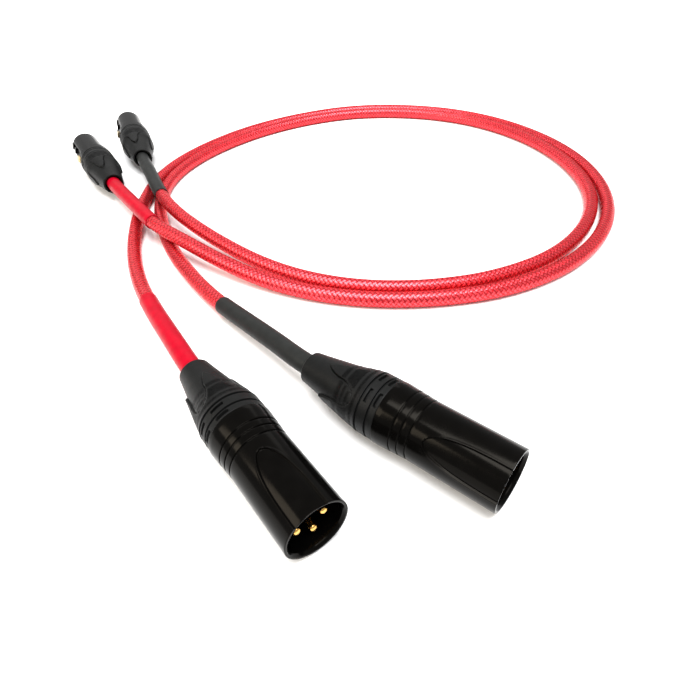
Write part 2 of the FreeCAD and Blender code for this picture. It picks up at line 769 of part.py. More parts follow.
def latch_lever(name):
    """A lever that rocks on a pin at the nose, with a hook and a push tab."""
    lever = new_body(name)
    eye_start = S.pivot_along - S.eye_half
    eye_end = S.pivot_along + S.eye_half
    profile = outline(lever, "XZ_Plane", [
        (eye_start, S.eye_bottom),
        (eye_end, S.eye_bottom),
        (eye_end + S.spring_gap, S.pivot_height),
        (S.lever_step_end, S.lever_bottom),
        (lever_end, S.lever_bottom),
        (lever_end, S.tab_top - S.tab_break * 2),
        (tab_end, S.tab_top),
        (tab_start, S.tab_top),
        (tab_foot, S.lever_top),
        (S.hook_end, S.lever_top),
        (S.hook_end, S.hook_top),
        (S.hook_crest, S.hook_top),
        (S.hook_ramp, S.lever_top),
        (S.lever_step_end, S.lever_top),
        (S.lever_step_start, S.lever_front_top),
        (eye_start, S.lever_front_top),
    ])
    extrude(lever, "Pad", profile, S.lever_width)
    pivot_hole(lever, S.pivot_gap * 0.5)
    return lever


def latch_pin(name):
    """The cross pin that the lever rocks on."""
    pin = doc.addObject("Part::Cylinder", name)
    pin.Label = name
    pin.setExpression("Radius", S.pivot_radius.formula)
    pin.setExpression("Height", S.pivot_length.formula)
    return pin


def latch_spring(name):
    """A bent leaf under the lever, which presses it outwards."""
    spring = new_body(name)
    low = S.channel_floor + S.spring_gap
    high = S.lever_bottom - S.spring_gap
    profile = outline(spring, "XZ_Plane", [
        (S.spring_start, low),
        (S.spring_bend, low),
        (spring_tip, high - S.spring_thickness),
        (spring_tip, high),
        (S.spring_bend, low + S.spring_thickness),
        (S.spring_start, low + S.spring_thickness),
    ])
    extrude(spring, "Pad", profile, S.spring_width)
    return spring


# Placing

def plug_place(plug):
    """The place of a plug: its mating end, its heading and its turn about its own axis. It
    rests on the widest part of its shell."""
    rest = S.plug_radius if "female" in plug else S.plug_radius + S.shell_flare
    base = Vector(size(plug, "x"), size(plug, "y"), rest.value)
    heading = Rotation(Vector(0, 0, 1), size(plug, "heading"))
    return Placement(base, heading * Rotation(Vector(1, 0, 0), size(plug, "turn")))


def size(plug, what):
    return getattr(S, "%s_%s" % (plug, what)).value


def turn_about_axis(angle):
    return Placement(Vector(), Rotation(Vector(1, 0, 0), angle))


def pivot_place():
    """The pivot pin is drawn upright, and lies across the plug."""
    base = Vector(S.pivot_along.value, S.pivot_length.value / 2, S.pivot_height.value)
    return Placement(base, Rotation(Vector(1, 0, 0), 90))


nodes = []


def place(piece, placement):
    piece.Placement = placement
    nodes.append(piece)


def add_male_plug(colour):
    plug = "%s_male" % colour
    where = plug_place(plug)
    shell_bore = S.plug_radius - S.shell_wall
    shoulder = S.male_shell_length
    place(male_shell(plug + "_shell"), where)
    place(male_carrier(plug + "_carrier"), where)
    place(male_contacts(plug + "_pins"), where)
    place(chuck_body(plug + "_clamp", shoulder), where)
    place(conductors(plug + "_wires", male_cup_end, shoulder), where)
    place(jacket_end(plug + "_cable_end", shoulder, S.male_length), where)
    boot = boot_body(plug + "_boot", shoulder, S.male_length, S.male_thread, shell_bore,
                     S.plug_radius + S.shell_flare)
    place(boot, where * turn_about_axis(size(plug, "boot_turn")))


def add_female_plug(colour):
    plug = "%s_female" % colour
    where = plug_place(plug)
    shoulder = S.female_shell_length
    place(female_shell(plug + "_shell"), where)
    place(female_carrier(plug + "_carrier"), where)
    place(female_contacts(plug + "_sockets"), where)
    place(latch_lever(plug + "_latch"), where)
    place(latch_pin(plug + "_latch_pin"), where * pivot_place())
    place(latch_spring(plug + "_latch_spring"), where)
    place(chuck_body(plug + "_clamp", shoulder), where)
    place(conductors(plug + "_wires", female_cup_end, shoulder), where)
    place(jacket_end(plug + "_cable_end", shoulder, S.female_length), where)
    boot = boot_body(plug + "_boot", shoulder, S.female_length, S.female_thread, female_bore,
                     S.plug_radius)
    place(boot, where * turn_about_axis(size(plug, "boot_turn")))


# The free cables. Their points are chosen by hand, from the male plug round the loop to the
# female plug. A lead that lies on the floor has its middle one radius up.

FLOOR = S.cable_radius.value
# A sleeved stretch on the floor lies this high, and a lead over another is this high
SLEEVED = sleeve_radius.value
OVER = 2 * FLOOR + S.crossing_gap.value + SLEEVED

RED_ROUTE = [
    (-18.0, -55.5, SLEEVED + 1.6), (-28.5, -33.5, SLEEVED + 0.1), (-37.0, -11.0, FLOOR),
    (-43.0, 14.0, FLOOR), (-46.5, 42.0, FLOOR), (-46.0, 70.0, FLOOR), (-38.5, 97.0, FLOOR),
    (-21.0, 124.5, FLOOR), (3.5, 149.0, FLOOR), (35.0, 167.0, FLOOR), (71.0, 177.5, FLOOR),
    (107.0, 174.0, FLOOR), (141.5, 160.0, FLOOR), (169.0, 136.5, FLOOR), (189.5, 103.5, FLOOR),
    (200.0, 66.0, FLOOR), (198.5, 26.0, FLOOR), (184.5, -10.0, FLOOR), (158.5, -38.0, FLOOR),
    (127.0, -53.5, FLOOR), (97.0, -57.5, FLOOR), (70.0, -55.5, FLOOR), (46.0, -48.5, FLOOR),
    (24.0, -37.5, FLOOR + 1.0), (4.0, -24.0, FLOOR + 5.8), (-14.0, -9.0, OVER - 1.6),
    (-27.0, 2.5, OVER), (-38.5, 14.0, OVER), (-48.5, 29.5, OVER),
]
BLACK_ROUTE = [
    (20.0, -65.5, SLEEVED + 2.8), (7.5, -50.5, SLEEVED + 0.2), (-5.5, -32.0, FLOOR),
    (-18.5, -10.5, FLOOR), (-29.0, 14.0, FLOOR), (-37.0, 41.0, FLOOR), (-38.5, 69.0, FLOOR),
    (-31.0, 95.5, FLOOR), (-14.5, 121.0, FLOOR), (9.5, 144.0, FLOOR), (38.5, 160.5, FLOOR),
    (72.0, 169.5, FLOOR), (105.0, 166.5, FLOOR), (137.0, 154.0, FLOOR), (163.0, 132.5, FLOOR),
    (182.5, 102.0, FLOOR), (192.5, 66.0, FLOOR), (191.5, 27.5, FLOOR), (177.5, -5.5, FLOOR),
    (153.0, -31.5, FLOOR), (123.0, -45.5, FLOOR), (95.0, -49.5, FLOOR), (68.0, -47.0, FLOOR),
    (44.0, -38.0, FLOOR), (23.0, -25.0, FLOOR + 1.0), (3.0, -9.0, FLOOR + 5.2),
    (-14.0, 8.0, OVER - 3.4), (-27.0, 25.0, OVER - 0.4), (-37.5, 43.0, OVER - 0.4),
    (-45.5, 63.5, OVER - 2.8),
]


def exit_points(plug, length, lead):
    """Where the free cable starts inside a boot, and the next point straight out of it."""
    where = plug_place(plug)
    start = length.value - S.cable_grip.value
    return [where.multVec(Vector(along, 0, 0)) for along in (start, start + lead.value)]


def add_cable(colour, route, male_lead):
    near = exit_points(colour + "_male", S.male_length, male_lead)
    far = exit_points(colour + "_female", S.female_length, S.female_lead)
    points = near + [Vector(*point) for point in route] + [far[1], far[0]]
    edges, radii = rounded_path(points)
    back_edges, back_radii = rounded_path(points[::-1])
    cable = tube(edges, S.cable_radius.value)
    length = Part.Wire(edges).Length
    section = math.pi * S.cable_radius.value ** 2
    print("%s cable: length %.1f mm" % (colour, length))
    print("  volume %.1f mm3, section times length %.1f mm3" % (cable.Volume, section * length))
    print("  arc radii", " ".join("%.0f" % radius for radius in radii))
    place(bare(colour + "_cable", cable), Placement())
    for end, path in (("front", edges), ("rear", back_edges)):
        place(bare("%s_%s_sleeve" % (colour, end), sleeve(path)), Placement())
    return edges


def sleeve(path):
    """The shrink sleeve on the first stretch of a path."""
    stretch = first_stretch(path, S.cable_grip.value + S.sleeve_shown.value)
    return tube(stretch, sleeve_radius.value).cut(tube(stretch, sleeve_bore.value))


def stations(edges, spacing=1.0):
    """Points along a path, each with its distance along it."""
    found = []
    done = 0.0
    for edge in edges:
        count = max(1, int(edge.Length / spacing))
        for k in range(count):
            length = edge.Length * k / count
            found.append((done + length, edge.valueAt(edge.getParameterByLength(length))))
        done += edge.Length
    return found


def least_gap(first, second, apart):
    """Least gap between two cables, or between stretches of one that are apart along it."""
    least = math.inf
    for along, point in first:
        for other_along, other in second:
            if first is not second or abs(along - other_along) > apart:
                least = min(least, point.distanceToPoint(other))
    return least - 2 * S.cable_radius.value


for colour in ("red", "black"):
    add_male_plug(colour)
    add_female_plug(colour)
red_path = stations(add_cable("red", RED_ROUTE, S.male_lead), 2.0)
black_path = stations(add_cable("black", BLACK_ROUTE, S.black_male_lead), 2.0)
SELF_APART = 60.0
print("least gap of the red cable to itself %.2f mm" % least_gap(red_path, red_path, SELF_APART))
print("least gap of the black cable to itself %.2f mm"
      % least_gap(black_path, black_path, SELF_APART))
print("least gap between the cables %.2f mm" % least_gap(red_path, black_path, 0.0))

doc.recompute()
for item in doc.Objects:
    if "Invalid" in item.State or "Error" in item.State:
        raise RuntimeError("%s did not build: %s" % (item.Name, item.State))
for node in nodes:
    if node.Shape.isNull() or not node.Shape.isValid() or not node.Shape.Solids:
        raise RuntimeError("%s has no valid solid" % node.Label)

os.makedirs("parts", exist_ok=True)
for node in nodes:
    node.Shape.exportStep("parts/%s.step" % node.Label)
    print("%s: %d solids, %.1f mm3" % (node.Label, len(node.Shape.Solids), node.Shape.Volume))
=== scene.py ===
import math

import bpy
import numpy as np
from bpy.props import FloatProperty, FloatVectorProperty, IntProperty, PointerProperty
from mathutils import Matrix, Vector


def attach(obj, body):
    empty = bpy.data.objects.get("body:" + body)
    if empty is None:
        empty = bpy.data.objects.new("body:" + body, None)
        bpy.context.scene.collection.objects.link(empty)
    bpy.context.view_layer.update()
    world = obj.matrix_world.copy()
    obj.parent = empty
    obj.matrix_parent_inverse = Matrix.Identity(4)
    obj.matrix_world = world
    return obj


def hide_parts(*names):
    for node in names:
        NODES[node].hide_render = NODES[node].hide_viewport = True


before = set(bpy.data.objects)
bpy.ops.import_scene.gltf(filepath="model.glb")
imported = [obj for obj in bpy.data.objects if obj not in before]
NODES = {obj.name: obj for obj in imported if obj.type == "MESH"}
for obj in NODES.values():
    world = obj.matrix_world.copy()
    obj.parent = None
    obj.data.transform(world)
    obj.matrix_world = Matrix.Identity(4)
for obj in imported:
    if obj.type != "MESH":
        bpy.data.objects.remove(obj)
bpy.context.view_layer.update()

bl_info = {
    "name": "Balanced audio leads",
    "version": (1, 0, 0),
    "blender": (4, 5, 0),
    "location": "3D View > Sidebar > Leads",
    "description": "Braided red leads with sleeves, moulded boots and three-pole plugs",
    "category": "Add Mesh",
}

MM = 0.001
COLOURS = ("red", "black")
LEADS = "leads"

# Each plug: mating end on the floor plan, heading towards its cable end, turn about its own
# axis, and turn of its boot in the shell. Millimetres and degrees.
PLUGS = {
    "red_male": (48.8, -155.35, 124.9, -7.0, 144.0),
    "black_male": (99.3, -145.3, 138.3, -51.5, 0.0),
    "red_female": (-99.95, 118.1, 300.3, 71.5, -15.0),
    "black_female": (-83.1, 157.5, 291.7, 72.0, -19.0),
}

# Along a plug from its mating end: its whole length, where its boot starts, and where a lever
# starts to turn gilt and how soon it is. A plug's axis rests at a height over the floor.
MALE_LENGTH = 70.0
MALE_SHOULDER = 38.5
MALE_REST = 10.2
FEMALE_LENGTH = 71.5
FEMALE_SHOULDER = 34.5
FEMALE_REST = 9.5
TAB_START = 27.3
TAB_BLEND = 0.6

# Places of the contacts across a plug: (side, up) from its axis
CONTACT_PLACES = ((4.15, 0.0), (-4.15, 0.0), (0.0, -4.15))

# How far inside the end of a plug its lead starts, and how far straight out the next point is
CABLE_GRIP = 5.0
LEAD_RUNS = {"red_male": 9.0, "black_male": 9.0, "red_female": 8.0, "black_female": 8.0}

# Columns all the way round a piece, and the spacing of the rows along a lead
SHELL_COLUMNS = 240
BOOT_COLUMNS = 264
CABLE_COLUMNS = 48
PIN_COLUMNS = 40
CABLE_ROW_SPACING = 1.25

# Heights of a lead's middle line: on the floor, in its sleeve on the floor, and over another
FLOOR = 3.2
SLEEVED = 3.6
OVER = 10.6

# Points of each lead, from the male plug round the loop to the female plug
ROUTES = {
    "red": [
        (-3.9, -77.2, SLEEVED + 5.0), (-16.6, -55.7, SLEEVED + 2.0),
        (-28.5, -33.5, SLEEVED + 0.1), (-37.0, -11.0, FLOOR),
        (-43.0, 14.0, FLOOR), (-46.5, 42.0, FLOOR), (-46.0, 70.0, FLOOR), (-38.5, 97.0, FLOOR),
        (-21.0, 124.5, FLOOR), (3.5, 149.0, FLOOR), (35.0, 167.0, FLOOR), (71.0, 177.5, FLOOR),
        (107.0, 174.0, FLOOR), (141.5, 160.0, FLOOR), (169.0, 136.5, FLOOR),
        (189.5, 103.5, FLOOR), (200.0, 66.0, FLOOR), (198.5, 26.0, FLOOR),
        (184.5, -10.0, FLOOR), (158.5, -38.0, FLOOR), (127.0, -53.5, FLOOR),
        (97.0, -57.5, FLOOR), (70.0, -55.5, FLOOR), (46.0, -48.5, FLOOR),
        (24.0, -37.5, FLOOR + 1.0), (4.0, -24.0, FLOOR + 4.0), (-14.0, -9.0, OVER - 0.8),
        (-27.0, 2.5, OVER), (-36.6, 15.8, OVER), (-46.2, 30.2, OVER - 0.4),
    ],
    "black": [
        (34.0, -83.6, SLEEVED + 5.6), (20.2, -66.6, SLEEVED + 3.0), (7.5, -50.5, SLEEVED + 0.4),
        (-5.5, -32.0, FLOOR),
        (-18.5, -10.5, FLOOR), (-29.0, 14.0, FLOOR), (-37.0, 41.0, FLOOR),
        (-38.5, 69.0, FLOOR), (-31.0, 95.5, FLOOR), (-14.5, 121.0, FLOOR),
        (9.5, 144.0, FLOOR), (38.5, 160.5, FLOOR), (72.0, 169.5, FLOOR),
        (105.0, 166.5, FLOOR), (137.0, 154.0, FLOOR), (163.0, 132.5, FLOOR),
        (182.5, 102.0, FLOOR), (192.5, 66.0, FLOOR), (191.5, 27.5, FLOOR),
        (177.5, -5.5, FLOOR), (153.0, -31.5, FLOOR), (123.0, -45.5, FLOOR),
        (95.0, -49.5, FLOOR), (68.0, -47.0, FLOOR), (44.0, -38.0, FLOOR),
        (23.0, -25.0, FLOOR + 1.0), (3.0, -9.0, FLOOR + 4.0), (-14.0, 8.0, OVER - 1.0),
        (-27.0, 25.6, OVER), (-36.0, 43.6, OVER), (-44.3, 63.5, OVER - 0.7),
    ],
}

# The camera stands where the photograph was taken from, looking along +Y and down
CAMERA_PLACE = (58.0, -217.0, 125.94)
CAMERA_TILT = 41.98
CAMERA_ROLL = 3.5
CAMERA_LENS = 26.52
CAMERA_SENSOR = 36.0

# The floor's ranges of x and y, and how far below the part it lies, in metres
FLOOR_X = (-4.0, 4.0)
FLOOR_Y = (-3.0, 8.0)
FLOOR_DROP = 0.0001

# Each soft light: where it stands, where it points, its two sides in metres, and its tint
SOFT_LIGHTS = {
    "key_light": ((0.14, -0.2, 0.92), (0.05, -0.02, 0.0), (0.75, 0.6), (1.0, 1.0, 1.0)),
    "side_light": ((-0.7, -0.3, 0.55), (0.05, -0.12, 0.0), (0.5, 0.36), (1.0, 0.9, 0.76)),
    "back_light": ((-0.15, 1.05, 0.62), (0.05, 0.05, 0.0), (1.3, 0.35), (1.0, 1.0, 1.0)),
}


# Sizes and colours that a user would change

def length(label, note, value):
    return FloatProperty(name=label, description=note, default=value * MM, unit="LENGTH",
                         min=0.0, precision=5)


def colour(label, note, value):
    return FloatVectorProperty(name=label, description=note, default=value, subtype="COLOR",
                               min=0.0, max=1.0)


class LEADS_PG_cable(bpy.types.PropertyGroup):
    radius: length("Cable radius", "Round jacketed cable", 3.2)
    sleeve_radius: length("Sleeve radius", "Outside of a shrink sleeve", 3.6)
    sleeve_bore: length("Sleeve bore", "Inside of a shrink sleeve", 3.25)
    front_sleeve: length("Front sleeve", "Length from the cable's end in a male plug", 62.0)
    rear_sleeve: length("Rear sleeve", "Length from the cable's end in a female plug", 65.0)
    braid_pitch: length("Braid pitch", "From one strand to the next, along the cable", 2.1)
    strands: IntProperty(name="Strands", description="Strands of the braid each way round",
                         default=8, min=3)
    # The red is the jacket's own. The dark jacket colour stands for painted shade in the gaps
    # between strands, and the bright braid colour for a painted highlight on their crowns.
    jacket: colour("Jacket", "Clear red jacket over the shaded side of a strand",
                   (0.34, 0.0004, 0.0020))
    braid: colour("Braid", "Bright strands of the braid, seen through the jacket",
                  (0.90, 0.078, 0.100))
    red_sleeve: colour("Red sleeve", "Shrink sleeve of the red lead", (0.33, 0.0012, 0.011))
    black_sleeve: colour("Black sleeve", "Shrink sleeve of the black lead",
                         (0.0155, 0.0162, 0.0156))


class LEADS_PG_plugs(bpy.types.PropertyGroup):
    radius: length("Plug radius", "Widest part of a plug", 9.5)
    panel_length: length("Panel length", "Sunk panel on a male shell, from its mouth", 23.0)
    panel_half_width: length("Panel half width", "Sunk panel on a male shell, at its mouth", 4.9)
    panel_depth: length("Panel depth", "Depth of the sunk panel", 0.6)
    flare: length("Flare", "A male shell grows by this behind its first ring groove", 0.7)
    shell: colour("Shell", "Gloss black lacquer", (0.0012, 0.0011, 0.0010))
    boot: colour("Boot", "Matt moulded rubber", (0.0043, 0.0045, 0.0044))
    gold: colour("Gold", "Contact pins and sockets", (0.72, 0.43, 0.12))
    lever: colour("Lever", "Latch levers", (0.012, 0.012, 0.012))
    push_tab: colour("Push tab", "Gilt end of a latch lever", (0.66, 0.52, 0.30))
    steel: colour("Steel", "Springs and pivot pins of the latches", (0.55, 0.55, 0.56))


class LEADS_PG_stage(bpy.types.PropertyGroup):
    floor: colour("Floor", "Plain pale floor", (0.93, 0.93, 0.93))
    key_power: FloatProperty(name="Key light", description="Power of the main soft light",
                             default=18.5, min=0.0, unit="POWER")
    side_power: FloatProperty(name="Side light", description="Power of the warm left light",
                              default=5.0, min=0.0, unit="POWER")
    back_power: FloatProperty(name="Back light", description="Power of the long rear light",
                              default=2.0, min=0.0, unit="POWER")
    sky: FloatProperty(name="Fill", description="Strength of the even fill light",
                       default=0.7, min=0.0)


# Curves and surfaces

def smooth_step(value, low, high):
    """0 below low, 1 above high, and 3t^2 - 2t^3 between them."""
    t = np.clip((value - low) / (high - low), 0.0, 1.0)
    return t * t * (3.0 - 2.0 * t)


def rounded(corners, reach, steps=4):
    """A closed outline, each corner C replaced by the curve (1-t)^2 A + 2t(1-t) C + t^2 B,
    where A and B lie on its two sides at most its reach away."""
    corner = np.array(corners, float)
    before = np.roll(corner, 1, 0) - corner
    after = np.roll(corner, -1, 0) - corner
    longest = 0.45 * np.minimum(np.hypot(*before.T), np.hypot(*after.T))
    reach = np.minimum(np.broadcast_to(np.array(reach, float), longest.shape), longest)
    start = corner + before * (reach / np.hypot(*before.T))[:, None]
    end = corner + after * (reach / np.hypot(*after.T))[:, None]
    t = np.linspace(0.0, 1.0, steps)[None, :, None]
    curve = ((1 - t) ** 2 * start[:, None] + 2 * t * (1 - t) * corner[:, None]
             + t ** 2 * end[:, None])
    return curve.reshape(-1, 2)


def divided(points, spacing):
    """A closed outline with points added so that none of its sides is longer than spacing."""
    side = np.roll(points, -1, 0) - points
    count = np.maximum(1, np.ceil(np.hypot(*side.T) / spacing - 1e-6).astype(int))
    index = np.repeat(np.arange(len(points)), count)
    first = np.repeat(np.cumsum(count) - count, count)
    share = (np.arange(count.sum()) - first) / count[index]
    return points[index] + side[index] * share[:, None]


def grid_faces(rows, columns, closed_rows):
    """Four corners of each cell of a grid whose columns go all the way round."""
    row, column = np.meshgrid(np.arange(rows if closed_rows else rows - 1),
                              np.arange(columns), indexing="ij")
    next_row, next_column = (row + 1) % rows, (column + 1) % columns
    return np.stack([row * columns + column, row * columns + next_column,
                     next_row * columns + next_column, next_row * columns + column],
                    -1).reshape(-1, 4)


def signed_volume(points, faces):
    a, b, c, d = (points[faces[:, k]] for k in range(4))
    return (np.einsum("ij,ij->", a, np.cross(b, c)) + np.einsum("ij,ij->", a, np.cross(c, d))) / 6


def grid_piece(name, grid, material, closed_rows=True, along=None, sharp=35.0):
    """A closed piece from a grid of points (rows, columns, 3). Its UV map holds the distance
    along its rows and the share of the way round."""
    rows, columns = grid.shape[:2]
    points = grid.reshape(-1, 3)
    faces = grid_faces(rows, columns, closed_rows)
    corner_row = faces // columns
    corner_column = faces % columns
    if not closed_rows:
        # A pole closes each end: a middle point with a fan of triangles round it
        points = np.vstack([points, grid[0].mean(0), grid[-1].mean(0)])
    if along is None:
        along = np.arange(rows, dtype=float)
    round_share = corner_column / columns
    wrapped = (corner_column.max(1) == columns - 1) & (corner_column.min(1) == 0)
    round_share = np.where(wrapped[:, None] & (corner_column == 0), 1.0, round_share)
    uv = np.stack([along[corner_row], round_share], -1).reshape(-1, 2)
    corners = [faces]
    counts = [4]
    if not closed_rows:
        ring = np.arange(columns)
        for row, pole in ((0, len(points) - 2), (rows - 1, len(points) - 1)):
            pair = [row * columns + ring, row * columns + (ring + 1) % columns]
            pair = pair[::-1] if row == 0 else pair
            corners.append(np.stack([np.full(columns, pole), *pair], -1))
            counts.append(3)
            share = np.stack([ring / columns, (ring + 0.5) / columns, (ring + 1) / columns], -1)
            uv = np.vstack([uv, np.stack([np.full(share.shape, along[row]), share],
                                         -1).reshape(-1, 2)])
    if signed_volume(points, faces) < 0:
        corners = [block[:, ::-1] for block in corners]
        sizes = [block.size for block in corners]
        parts = np.split(uv, np.cumsum(sizes)[:-1])
        uv = np.vstack([part.reshape(-1, block.shape[1], 2)[:, ::-1].reshape(-1, 2)
                        for part, block in zip(parts, corners)])
    mesh = bpy.data.meshes.new(name)
    loops = np.concatenate([block.ravel() for block in corners])
    totals = np.concatenate([np.full(len(block), count)
                             for block, count in zip(corners, counts)])
    mesh.vertices.add(len(points))
    mesh.vertices.foreach_set("co", points.astype(np.float32).ravel())
    mesh.loops.add(len(loops))
    mesh.loops.foreach_set("vertex_index", loops.astype(np.int32))
    mesh.polygons.add(len(totals))
    mesh.polygons.foreach_set("loop_start", (np.cumsum(totals) - totals).astype(np.int32))
    layer = mesh.uv_layers.new(name="UVMap")
    layer.data.foreach_set("uv", uv.astype(np.float32).ravel())
    mesh.update(calc_edges=True)
    mesh.validate()
    mesh.shade_smooth()
    mesh.set_sharp_from_angle(angle=math.radians(sharp))
    mesh.materials.append(material)
    piece = bpy.data.objects.new(name, mesh)
    bpy.context.scene.collection.objects.link(piece)
    return piece


# Plugs in their places

def plug_points(plug, local, boot=False):
    """Points of a plug, (along, side, up) in millimetres, in the row frame in metres. They turn
    about the plug's axis, then to its heading, then move to its mating end."""
    x, y, heading, turn, boot_turn = PLUGS[plug]
    turn = math.radians(turn + (boot_turn if boot else 0.0))
    heading = math.radians(heading)
    roll = np.array([[1, 0, 0], [0, math.cos(turn), -math.sin(turn)],
                     [0, math.sin(turn), math.cos(turn)]])
    yaw = np.array([[math.cos(heading), -math.sin(heading), 0],
                    [math.sin(heading), math.cos(heading), 0], [0, 0, 1]])
    rest = FEMALE_REST if "female" in plug else MALE_REST
    return (local @ (yaw @ roll).T + (x, y, rest)) * MM


def round_grid(outline, angles, radius=None):
    """Turns an outline of (along, out) about the axis: (x, r sin a, r cos a)."""
    out = outline[:, 1:2] if radius is None else radius
    angles = np.broadcast_to(angles, (len(outline), angles.shape[-1]))
    along = np.broadcast_to(outline[:, :1], angles.shape)
    return np.stack([along, out * np.sin(angles), out * np.cos(angles)], -1)


def exit_run(plug, total):
    """Where the free cable starts inside a boot, and the next point straight out of it."""
    start = total - CABLE_GRIP
    local = np.array([[start, 0.0, 0.0], [start + LEAD_RUNS[plug], 0.0, 0.0]])
    return plug_points(plug, local)


# Cords

def lead_line(name):
    """Points that Blender's spline gives for a lead, and their distances along it."""
    near = exit_run(name + "_male", MALE_LENGTH)
    far = exit_run(name + "_female", FEMALE_LENGTH)
    points = np.vstack([near, np.array(ROUTES[name]) * MM, far[::-1]])
    curve = bpy.data.curves.new(name + "_route", "CURVE")
    curve.dimensions = "3D"
    curve.resolution_u = 24
    spline = curve.splines.new("NURBS")
    spline.points.add(len(points) - 1)
    spline.points.foreach_set("co", np.c_[points, np.ones(len(points))].ravel())
    spline.order_u = 3
    spline.use_endpoint_u = True
    route = bpy.data.objects.new(name + "_route", curve)
    bpy.context.scene.collection.objects.link(route)
    bpy.context.view_layer.update()
    line = bpy.data.meshes.new_from_object(route)
    found = np.empty(len(line.vertices) * 3)
    line.vertices.foreach_get("co", found)
    bpy.data.meshes.remove(line)
    bpy.data.objects.remove(route)
    found = found.reshape(-1, 3)
    steps = np.linalg.norm(np.diff(found, axis=0), axis=1)
    found = found[np.r_[True, steps > 1e-7]]
    steps = steps[steps > 1e-7]
    return found, np.r_[0.0, np.cumsum(steps)]


def along_line(line, distances, where):
    """Points at given distances along a line, with the directions across it and up from it.
    Up stays as near to +Z as the line allows, so that nothing twists."""
    place = np.stack([np.interp(where, distances, line[:, k]) for k in range(3)], -1)
    tangent = np.gradient(place, where, axis=0)
    tangent /= np.linalg.norm(tangent, axis=1)[:, None]
    side = np.cross([0.0, 0.0, 1.0], tangent)
    side /= np.linalg.norm(side, axis=1)[:, None]
    return place, side, np.cross(tangent, side)


def ring_grid(place, side, up, radii):
    """Rings round a line: place + r (side sin a - up cos a), so that the seam lies below."""
    angle = np.linspace(0.0, 2 * np.pi, CABLE_COLUMNS, endpoint=False)[None, :, None]
    return (place[:, None] + radii[:, None, None]
            * (side[:, None] * np.sin(angle) - up[:, None] * np.cos(angle)))


# Materials

class Recipe:
    """A node material that is put together from short calls."""

    def __init__(self, name, **settings):
        self.material = bpy.data.materials.new(name)
        self.material.use_nodes = True
        self.tree = self.material.node_tree
        self.tree.nodes.clear()
        self.shader = self.tree.nodes.new("ShaderNodeBsdfPrincipled")
        output = self.tree.nodes.new("ShaderNodeOutputMaterial")
        self.tree.links.new(self.shader.outputs["BSDF"], output.inputs["Surface"])
        for socket, value in settings.items():
            self.shader.inputs[socket.replace("_", " ")].default_value = value

    def put(self, socket, value):
        if isinstance(value, bpy.types.NodeSocket):
            self.tree.links.new(value, socket)
        else:
            socket.default_value = value

    def node(self, kind, *inputs, **settings):
        node = self.tree.nodes.new("ShaderNode" + kind)
        for key, value in settings.items():
            setattr(node, key, value)
        for socket, value in zip(node.inputs, inputs):
            if value is not None:
                self.put(socket, value)
        return node

    def math(self, operation, *inputs):
        return self.node("Math", *inputs, operation=operation).outputs[0]

    def noise(self, vector, scale, detail=2.0, roughness=0.5):
        node = self.node("TexNoise", vector)
        self.put(node.inputs["Scale"], scale)
        self.put(node.inputs["Detail"], detail)
        self.put(node.inputs["Roughness"], roughness)
        return node.outputs["Fac"]

    def remap(self, value, low, high, new_low, new_high):
        return self.node("MapRange", value, low, high, new_low, new_high).outputs[0]

    def mix(self, factor, first, second):
        node = self.node("Mix", data_type="RGBA")
        self.put(node.inputs["Factor"], factor)
        self.put(node.inputs["A"], first)
        self.put(node.inputs["B"], second)
        return node.outputs["Result"]

    def bump(self, height, distance, strength=1.0, normal=None):
        node = self.node("Bump")
        self.put(node.inputs["Strength"], strength)
        self.put(node.inputs["Distance"], distance)
        self.put(node.inputs["Height"], height)
        if normal is not None:
            self.put(node.inputs["Normal"], normal)
        return node.outputs["Normal"]

    def object_place(self):
        return self.node("TexCoord").outputs["Object"]

    def give(self, socket, value):
        self.put(self.shader.inputs[socket], value)

    def give_shades(self, cloud, value, low, high):
        """Base colour that drifts between two shades of one colour."""
        self.give("Base Color", self.mix(self.remap(cloud, 0.3, 0.7, 0.0, 1.0),
                                         scaled(value, low), scaled(value, high)))


def rgba(value):
    return (*value[:3], 1.0)


def scaled(value, factor):
    return tuple(min(1.0, part * factor) for part in value[:3]) + (1.0,)


def moulded(name, colour_value, roughness, grain=0.00002, grain_scale=9000.0, spread=0.35,
            specular=0.35):
    """Moulded plastic or rubber: fine grain, slight unevenness of shade and gloss."""
    recipe = Recipe(name, Specular_IOR_Level=specular)
    place = recipe.object_place()
    cloud = recipe.noise(place, 180.0, 4.0, 0.55)
    grains = recipe.noise(place, grain_scale, 3.0, 0.6)
    recipe.give_shades(cloud, colour_value, 1.0 - spread / 2, 1.0 + spread / 2)
    recipe.give("Roughness", recipe.remap(grains, 0.2, 0.8, roughness - 0.07, roughness + 0.07))
    recipe.give("Normal", recipe.bump(grains, grain))
    return recipe.material


def lacquer(name, colour_value):
    """Gloss black lacquer: nearly even, with faint ripple and a few fine rubs."""
    recipe = Recipe(name, Specular_IOR_Level=0.05, Specular_Tint=(1.0, 0.93, 0.82, 1.0))
    place = recipe.object_place()
    ripple = recipe.noise(place, 260.0, 2.0, 0.4)
    fine = recipe.noise(place, 3800.0, 3.0, 0.6)
    recipe.give_shades(ripple, colour_value, 0.85, 1.3)
    recipe.give("Roughness", recipe.remap(fine, 0.3, 0.75, 0.12, 0.19))
    recipe.give("Normal", recipe.bump(ripple, 0.00002, 0.5,
                                      recipe.bump(fine, 0.000002, 0.5)))
    return recipe.material


def metal(name, colour_value, roughness):
    """Plated or drawn metal: its tone drifts, and its roughness varies with a fine noise."""
    recipe = Recipe(name, Metallic=1.0)
    place = recipe.object_place()
    cloud = recipe.noise(place, 420.0, 3.0, 0.5)
    fine = recipe.noise(place, 2500.0, 3.0, 0.6)
    recipe.give_shades(cloud, colour_value, 0.86, 1.1)
    recipe.give("Roughness", recipe.remap(fine, 0.2, 0.8, roughness - 0.05, roughness + 0.08))
    recipe.give("Normal", recipe.bump(fine, 0.000008))
    return recipe.material


